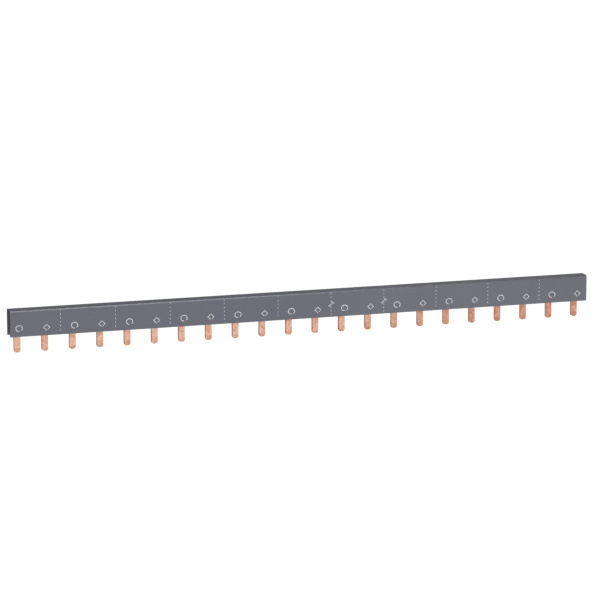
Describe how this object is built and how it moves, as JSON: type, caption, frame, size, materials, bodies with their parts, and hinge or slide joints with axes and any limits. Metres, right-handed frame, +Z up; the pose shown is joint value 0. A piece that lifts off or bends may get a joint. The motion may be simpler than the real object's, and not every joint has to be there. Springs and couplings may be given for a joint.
{
  "type": "comb busbar",
  "caption": "Straight comb busbar: copper combs with one row of downward teeth, held inside an extruded insulating profile that is open along its underside.",
  "frame": {"origin": "middle of the row of teeth, at mid-thickness of the teeth, on the plane of the profile's underside", "axes": "+X along the bar, to the right as the printed front is read; -Y out of the printed front; +Z up, away from the teeth"},
  "size_m": [0.3903, 0.009, 0.0284],
  "materials": {
    "profile_plastic": "satin, fine extruded grain, pale printed marks on the front",
    "comb_copper": null
  },
  "bodies": {
    "root": {"insulating_profile": "profile_plastic", "front_comb": "comb_copper", "rear_comb": "comb_copper"}
  },
  "joints": []
}
